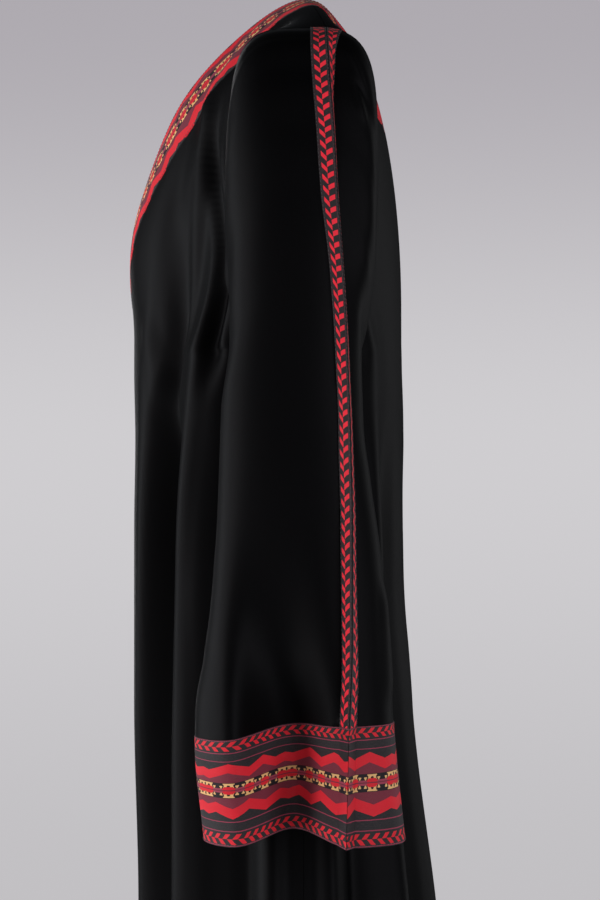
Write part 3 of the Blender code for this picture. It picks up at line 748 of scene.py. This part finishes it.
# The print of one piece of cloth: turned and stretch say its way and scale along the cloth,
# shift where it starts and spread its scale across.
def printMaterial(name, kind, turned=1, shift=0.0, spread=1.0, stretch=1.0):
    made, tree, shader = newMaterial(name, printLook["fixed"])
    place = add(tree, "ShaderNodeUVMap", uv_map="cloth").outputs[0]
    split = add(tree, "ShaderNodeSeparateXYZ", place)
    wobble = minus(noise(place, 140, 1.0), 0.5)
    along = times(split.outputs[0], 1000.0 * turned / stretch)
    along = plus(along, shift)
    across = times(split.outputs[1], 1000.0 / spread)
    across = plus(across, times(wobble, printLook["wobble"]))
    away = calc("ABSOLUTE", across)
    if kind == "trim":
        slid = plus(across, chevron["slide"])
        blocks = chevronAt(along, slid, chevron, chevron["reach"], chevron["reach"])
        colour = paint(blocks, dye["charcoal"], dye["trimRed"])
        colour = paint(within(away, *chevron["edge"]), colour, dye["edge"])
        # painted shadow: past this distance each edge of the strip is near-black, standing in for the
        # shade in the seam's gap
        colour = paint(moreThan(away, chevron["rim"]), colour, dye["ink"])
    else:
        upper = moreThan(across, 0.0)
        part = calc("FRACT", calc("DIVIDE", along, zigzag["repeat"]))
        over, under = (zigzagAt(part, zigzag[k]) for k in ("upper", "lower"))
        zig = times(minus(over, under), upper)
        zig = plus(plus(under, zig), zigzag["middle"])
        fromZig = minus(away, zig)
        inside = lessThan(fromZig, 0.0)
        onZig = lessThan(calc("ABSOLUTE", fromZig), zigzag["thick"] / 2)
        colour = paint(onZig, paint(inside, dye["charcoal"], dye["maroon"]), dye["red"])
        # the small motif row
        x = nearestMotif(times(part, zigzag["repeat"]))
        red, goldIn, goldOut = stepChart(away, motif["rows"], 1)
        footIn, footOut, _ = stepChart(away, [(*row, 0.0) for row in motif["rows"]], 4)
        ground = within(away, motif["stem"], motif["ground"])
        row = paint(ground, dye["ink"], dye["rose"])
        row = paint(lessThan(x, red), row, dye["red"])
        row = paint(within(x, goldIn, goldOut), row, dye["gold"])
        row = paint(within(x, footIn, footOut), row, dye["gold"])
        row = paint(lessThan(away, motif["stem"]), row, dye["maroon"])
        colour = paint(lessThan(away, motif["half"]), colour, row)
        if kind == "cuff":
            for low, high in cuffChevron["lines"]:
                colour = paint(within(away, low, high), colour, dye["line"])
            inRow = minus(away, cuffChevron["middle"])
            reach = cuffChevron["inner"], cuffChevron["outer"]
            blocks = chevronAt(along, inRow, cuffChevron, *reach)
            colour = paint(blocks, colour, dye["red"])
    # the threads run along the print; lighter streaks along them are painted thread sheen, mixed with
    # the slub's random tone
    stretched = add(tree, "ShaderNodeVectorMath", place, printLook["threads"], operation="MULTIPLY")
    threads, slub = noise(stretched.outputs[0], 1.0), noise(place, printLook["slub"])
    mixed = plus(times(threads, 0.6), times(slub, 0.4))
    sheenShare = times(minus(mixed, 0.45), printLook["wear"])
    dress(shader, paint(sheenShare, colour, dye["worn"]), mixed, printLook)
    return made


# Rows of stitches, as short rounded threads set along a line on the cloth. hem, neck, cuff and
# trim say where a line runs between its two rows of points, as a share of the way.
thread = dict(
    spacing=0.0032, length=0.0024, thickness=0.00024, uneven=0.12, seed=7,
    colour=(0.012, 0.011, 0.013), light=2.2, twist=2400, rough=0.4, roughMore=0.2, bump=0.3,
    depth=0.0001, hem=0.1, neck=0.5, cuff=0.4, trim=0.22,
    fixed={"Sheen Weight": 0.2, "Specular IOR Level": 0.4},
)


def threadMaterial(name):
    made, tree, shader = newMaterial(name, thread["fixed"])
    place = add(tree, "ShaderNodeTexCoord").outputs["Object"]
    twist = noise(place, thread["twist"], 1.0)
    light = tuple(thread["light"] * x for x in thread["colour"])
    dress(shader, paint(twist, thread["colour"], light), twist, thread)
    return made


def stitchTree():
    tree = bpy.data.node_groups.new("stitchRow", "GeometryNodeTree")
    tree.interface.new_socket("Geometry", in_out="INPUT", socket_type="NodeSocketGeometry")
    kinds = dict.fromkeys(("Spacing", "Length", "Thickness", "Uneven"), "Float")
    for name, kind in (kinds | {"Seed": "Int", "Thread": "Material"}).items():
        tree.interface.new_socket(name, in_out="INPUT", socket_type="NodeSocket" + kind)
    tree.interface.new_socket("Geometry", in_out="OUTPUT", socket_type="NodeSocketGeometry")
    given = add(tree, "NodeGroupInput").outputs
    line = add(tree, "GeometryNodeMeshToCurve", given["Geometry"]).outputs[0]
    spaced = add(tree, "GeometryNodeResampleCurve", mode="LENGTH")
    tree.links.new(line, spaced.inputs["Curve"])
    tree.links.new(given["Spacing"], spaced.inputs["Length"])
    out = add(tree, "GeometryNodeInputNamedAttribute", "out", data_type="FLOAT_VECTOR").outputs[0]
    tangent = add(tree, "GeometryNodeInputTangent").outputs[0]
    axes = dict(primary_axis="Z", secondary_axis="X")
    turn = add(tree, "FunctionNodeAxesToRotation", tangent, out, **axes).outputs[0]
    chance = add(tree, "FunctionNodeRandomValue", data_type="FLOAT")
    tree.links.new(minus(1.0, given["Uneven"]), chance.inputs[2])
    tree.links.new(plus(1.0, given["Uneven"]), chance.inputs[3])
    tree.links.new(given["Seed"], chance.inputs["Seed"])
    half = times(times(given["Length"], 0.5), chance.outputs[1])
    size = add(tree, "ShaderNodeCombineXYZ", given["Thickness"], given["Thickness"], half).outputs[0]
    bead = add(tree, "GeometryNodeMeshIcoSphere", 1.0, 1).outputs[0]
    placed = add(tree, "GeometryNodeInstanceOnPoints")
    wanted = dict(Points=spaced.outputs[0], Instance=bead, Rotation=turn, Scale=size)
    for name, value in wanted.items():
        tree.links.new(value, placed.inputs[name])
    real = add(tree, "GeometryNodeRealizeInstances", placed.outputs[0]).outputs[0]
    soft = add(tree, "GeometryNodeSetShadeSmooth", real).outputs[0]
    dyed = add(tree, "GeometryNodeSetMaterial", soft)
    tree.links.new(given["Thread"], dyed.inputs["Material"])
    add(tree, "NodeGroupOutput", dyed.outputs[0])
    return tree


def makeStitches(name, lines, tree, look):
    points = np.concatenate([line[0] for line in lines])
    starts = np.cumsum([0] + [len(line[0]) for line in lines])
    edges = [(k, k + 1) for a, b in zip(starts, starts[1:]) for k in range(a, b - 1)]
    mesh = bpy.data.meshes.new(name)
    mesh.from_pydata(points.tolist(), edges, [])
    out = mesh.attributes.new("out", "FLOAT_VECTOR", "POINT")
    outward = np.concatenate([line[1] for line in lines]).astype(np.float32)
    out.data.foreach_set("vector", outward.ravel())
    made = putIn(name, mesh)
    rows = made.modifiers.new("stitches", "NODES")
    rows.node_group = tree
    values = {**thread, "thread": look}
    for item in tree.interface.items_tree:
        if item.in_out == "INPUT" and item.name != "Geometry":
            rows[item.identifier] = values[item.name.lower()]
    ready = made.evaluated_get(bpy.context.evaluated_depsgraph_get())
    sewn = bpy.data.meshes.new_from_object(ready)
    made.modifiers.remove(rows)
    made.data = sewn
    return made


# A row of points on a sheet's outer face, a share of the way between two rows of its grid, and
# the way out at each.
def lineOn(sheet, first, second, share, lift=0.0):
    out = blend(*(normalsAt(sheet, keysOf(line)) for line in (first, second)), share)
    rise = sheet["wall"] / 2 + lift + 0.5 * thread["thickness"]
    return blend(first, second, share) + out * rise, out


# Body panels: rows from hem to shoulder, the columns of each half from the band or centre out.
def bodyGrids(panel):
    fineLevels = armholeLevels(panel, cloth["stripColumns"], cloth["columns"])
    level = np.concatenate([np.linspace(-1, 0, cloth["hemRows"] + 1)[:-1], fineLevels])
    start = np.where(level > 0, bandEdge(panel, np.maximum(level, 1e-9), False), 0.0)
    across = blend(start[:, None], 1.0, np.linspace(0, 1, cloth["frontColumns"] + 1))
    grids = []
    wide, middle, top = cloth["bodyPlace"]
    for side in (1, -1):
        points = bodySurface(panel, across, level[:, None], side)
        place = np.stack([side * across * wide + middle, points[..., 2] + top], -1)
        grids.append((points, place, (panel == "back") == (side == 1)))
    return grids


# Half a neck band: from the centre front over the shoulder to the centre back.
def bandGrids(side):
    grids = []
    for panel in ("front", "back"):
        fine = armholeLevels(panel, cloth["stripColumns"], cloth["columns"])
        seamFoot = armholeLevels(panel)[shape["tipRow" if panel == "front" else "backBandRow"]]
        neckFoot = levelAt(panel, shape["neckDepth" if panel == "front" else "neckBack"])
        level = fine[fine > seamFoot - 1e-9]
        outer = bandEdge(panel, level, False)
        innerLevel = blend(neckFoot, 1.0, (level - seamFoot) / (1 - seamFoot))
        inner = bandEdge(panel, innerLevel, True)
        t = np.linspace(0, 1, cloth["bandColumns"] + 1)
        across = blend(inner[:, None], outer[:, None], t)
        points = bodySurface(panel, across, blend(innerLevel[:, None], level[:, None], t), side)
        middle = points[:, cloth["bandColumns"] // 2]
        tangent = np.gradient(middle, axis=0)
        tangent /= np.linalg.norm(tangent, axis=1, keepdims=True)
        u = runOf(middle)[:, None] + ((points - middle[:, None]) * tangent[:, None]).sum(-1)
        u = u if panel == "front" else 2 * runOf(middle)[-1] - u
        v = np.broadcast_to((t - 0.5) * shape["bandWidth"], u.shape)
        grids.append((points, np.stack([u, v], -1), (panel == "front") != (side == 1)))
    return grids


sheets, trims, seams = [], [], {}
trimLift = (cloth["crepeWall"] + cloth["trimWall"]) / 2 + cloth["trimGap"]


# Notes rows of stitches on a piece, by pairs of an edge's points and the points next to them.
def sew(place, sheet, pairs, share, lift=0.0):
    seams.setdefault(place, []).extend((sheet, a, b, share, lift) for a, b in pairs)


# Places on the cloth, from those across a piece and those up it.
def spreadOut(across, up):
    return np.stack(np.broadcast_arrays(across, up[:, None]), -1)


for panel in ("front", "back"):
    grids = bodyGrids(panel)
    sheets.append(makeSheet(panel, cloth["crepeWall"], grids))
    sew("hem", sheets[-1], [(grid[3], grid[4]) for grid, _, _ in grids], thread["hem"])
print("body panels shaped")
sleeveFlow = np.linspace(0, cuffRing, cloth["sleeveRows"] + 1)
cuffFlow = np.linspace(cuffRing, cuffRing + 1, cloth["cuffRows"] + 1)
for side, name in ((1, "Left"), (-1, "Right")):
    grids = bandGrids(side)
    sheets.append(makeSheet("neckBand" + name, cloth["printWall"], grids))
    edges = [(grid[:, a], grid[:, b]) for grid, _, _ in grids for a, b in ((0, 1), (-1, -2))]
    sew("neck", sheets[-1], edges, thread["neck"])
    for panel in ("front", "back"):
        points = sleeveSurface(np.concatenate([sleeveFlow, cuffFlow[1:]]), panel, side, name)
        flip, tail = (panel == "front") != (side == 1), panel.title() + name
        top, low = points[:len(sleeveFlow)], points[len(sleeveFlow) - 1:]
        run = runOf(top[:, 0])
        place = spreadOut(np.linspace(0, cloth["sleevePlace"], top.shape[1]), run)
        under = makeSheet("sleeve" + tail, cloth["crepeWall"], [(top, place, flip)])
        around = runOf(low[len(low) // 2]) * cloth["cuffAround"]
        place = spreadOut(around, (0.5 - (cuffFlow - cuffRing)) * cloth["cuffUp"])
        cuff = makeSheet("cuff" + tail, cloth["printWall"], [(low, place, flip)])
        sew("cuff" + name, cuff, [(low[0], low[1]), (low[-1], low[-2])], thread["cuff"])
        strip = top[:, :cloth["stripColumns"] + 1]
        across = (np.linspace(0, 1, cloth["stripColumns"] + 1) - 0.5) * shape["trimWidth"]
        place = spreadOut(across, run)[..., ::-1]
        trim = makeSheet("trim" + tail, cloth["trimWall"], [(strip, place, flip)])
        edges = [(strip[:, a], strip[:, b]) for a, b in ((0, 1), (-1, -2))]
        sew("sleeve" + name, trim, edges, thread["trim"], trimLift)
        sheets.extend((under, cuff))
        trims.append((under, trim))
print("sleeves, cuffs and neck bands shaped")

shareNormals(sheets)
for under, trim in trims:
    trim["normals"] = normalsAt(under, trim["keys"])

looks = {
    "front": crepeMaterial(),
    "neck": printMaterial("neckPrint", "neck", shift=4.0, spread=1.16),
    "cuffFront": printMaterial("cuffPrintFront", "cuff", turned=-1, shift=34.0, stretch=1.16),
    "cuffBack": printMaterial("cuffPrintBack", "cuff", shift=-12.0),
    "trim": printMaterial("trimPrint", "trim"),
}
looks["back"] = looks["sleeve"] = looks["front"]


# A table's row for a piece: the one with the longest name that the piece's begins with.
def rowFor(table, name):
    return table[max((key for key in table if name.startswith(key)), key=len)]


wallFaces = 0
for sheet in sheets + [trim for _, trim in trims]:
    name = sheet["name"]
    made = makeWall(sheet, trimLift if name.startswith("trim") else 0.0)
    wallFaces += len(made.data.polygons)
    look = rowFor(looks, name)
    made.data.materials.append(look)
    node = "".join("_" + c.lower() if c.isupper() else c for c in name)
    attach(made, "root")
    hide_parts(node)
print("walls made:", wallFaces, "faces")
tree, black = stitchTree(), threadMaterial("blackThread")
for place, rows in seams.items():
    name = "stitches" + place[0].upper() + place[1:]
    made = makeStitches(name, [lineOn(*row) for row in rows], tree, black)
    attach(made, "root")
    print(made.name, len(made.data.polygons), "faces")

# Backdrop, lights and camera.
stage = dict(
    sky=[(0.0, (0.540, 0.528, 0.547)), (0.5, (0.625, 0.612, 0.632)), (1.0, (0.425, 0.403, 0.435))],
    fillColour=(0.80, 0.82, 0.86, 1.0), fill=0.03,
    floorRadius=3.0, floorHeight=-1.432, floorSides=96, floorColour=(0.60, 0.59, 0.60),
    camera=(2.0, 0.009, -0.38), sensor=36.0, lens=90.2,
)
Light = namedtuple("Light", "name power width height colour place aim")
lights = [
    Light("rearLight", 62, 1.2, 2.2, (0.97, 0.98, 1.0), (2.4, 2.0, -0.2), (0.1, 0, -0.5)),
    Light("frontLight", 56, 0.8, 2.2, (1.0, 0.99, 0.98), (1.2, -2.5, -0.3), (0.1, 0, -0.5)),
    Light("rimLight", 52, 0.8, 2.2, (0.94, 0.97, 1.0), (-0.5, -2.65, -0.3), (0.1, 0, -0.5)),
    Light("sideLight", 12, 1.6, 2.0, (1.0, 0.99, 0.98), (2.8, -1.2, -0.2), (0.1, 0, -0.5)),
    Light("backLight", 22, 1.4, 2.2, (0.97, 0.98, 1.0), (-1.4, 2.7, -0.1), (-0.1, 0, -0.5)),
    Light("farLight", 22, 1.4, 2.2, (0.97, 0.98, 1.0), (-2.9, -0.6, 0.0), (-0.1, 0, -0.5)),
]


def makeStage():
    world = bpy.context.scene.world or bpy.data.worlds.new("studio")
    bpy.context.scene.world = world
    world.use_nodes = True
    tree = world.node_tree
    tree.nodes.clear()
    direction = add(tree, "ShaderNodeTexCoord").outputs["Generated"]
    up = add(tree, "ShaderNodeSeparateXYZ", direction).outputs[2]
    share = add(tree, "ShaderNodeMapRange", up, -0.2, 0.2, 0.0, 1.0).outputs[0]
    grade = add(tree, "ShaderNodeValToRGB", share)
    grade.color_ramp.interpolation = "EASE"
    grade.color_ramp.elements.new(0.5)
    for stop, (place, colour) in zip(grade.color_ramp.elements, stage["sky"]):
        stop.position, stop.color = place, (*colour, 1.0)
    seen = add(tree, "ShaderNodeBackground", grade.outputs[0], 1.0)
    soft = add(tree, "ShaderNodeBackground", stage["fillColour"], stage["fill"])
    ray = add(tree, "ShaderNodeLightPath").outputs["Is Camera Ray"]
    both = add(tree, "ShaderNodeMixShader", ray, soft.outputs[0], seen.outputs[0])
    add(tree, "ShaderNodeOutputWorld", both.outputs[0])
    for row in lights:
        lamp = bpy.data.lights.new(row.name, "AREA")
        lamp.shape, lamp.size, lamp.size_y = "RECTANGLE", row.width, row.height
        lamp.energy, lamp.color = row.power, row.colour
        made = putIn(row.name, lamp)
        made.location = row.place
        x, y, z = np.array(row.aim) - np.array(row.place)
        made.rotation_euler = (math.atan2(math.hypot(x, y), -z), 0.0, math.atan2(-x, y))
        made.visible_camera = False
    radius, sides = stage["floorRadius"], stage["floorSides"]
    turns = [k * math.tau / sides for k in range(sides)]
    ring = [(math.cos(t) * radius, math.sin(t) * radius, stage["floorHeight"]) for t in turns]
    mesh = bpy.data.meshes.new("floor")
    mesh.from_pydata(ring, [], [list(range(sides))])
    floor = putIn("floor", mesh)
    look, tree, shader = newMaterial("floorPaper", {"Roughness": 0.8})
    place = add(tree, "ShaderNodeTexCoord").outputs["Object"]
    low = tuple(0.97 * x for x in stage["floorColour"])
    paper = paint(noise(place, 40), low, stage["floorColour"])
    tree.links.new(paper, shader.inputs["Base Color"])
    mesh.materials.append(look)
    lens = bpy.data.cameras.new("camera")
    lens.sensor_width, lens.lens = stage["sensor"], stage["lens"]
    camera = putIn("camera", lens)
    camera.location = stage["camera"]
    camera.rotation_euler = (math.pi / 2, 0.0, math.pi / 2)
    bpy.context.scene.camera = camera
    bpy.context.scene.view_settings.view_transform = "Standard"


makeStage()
print("stage set")
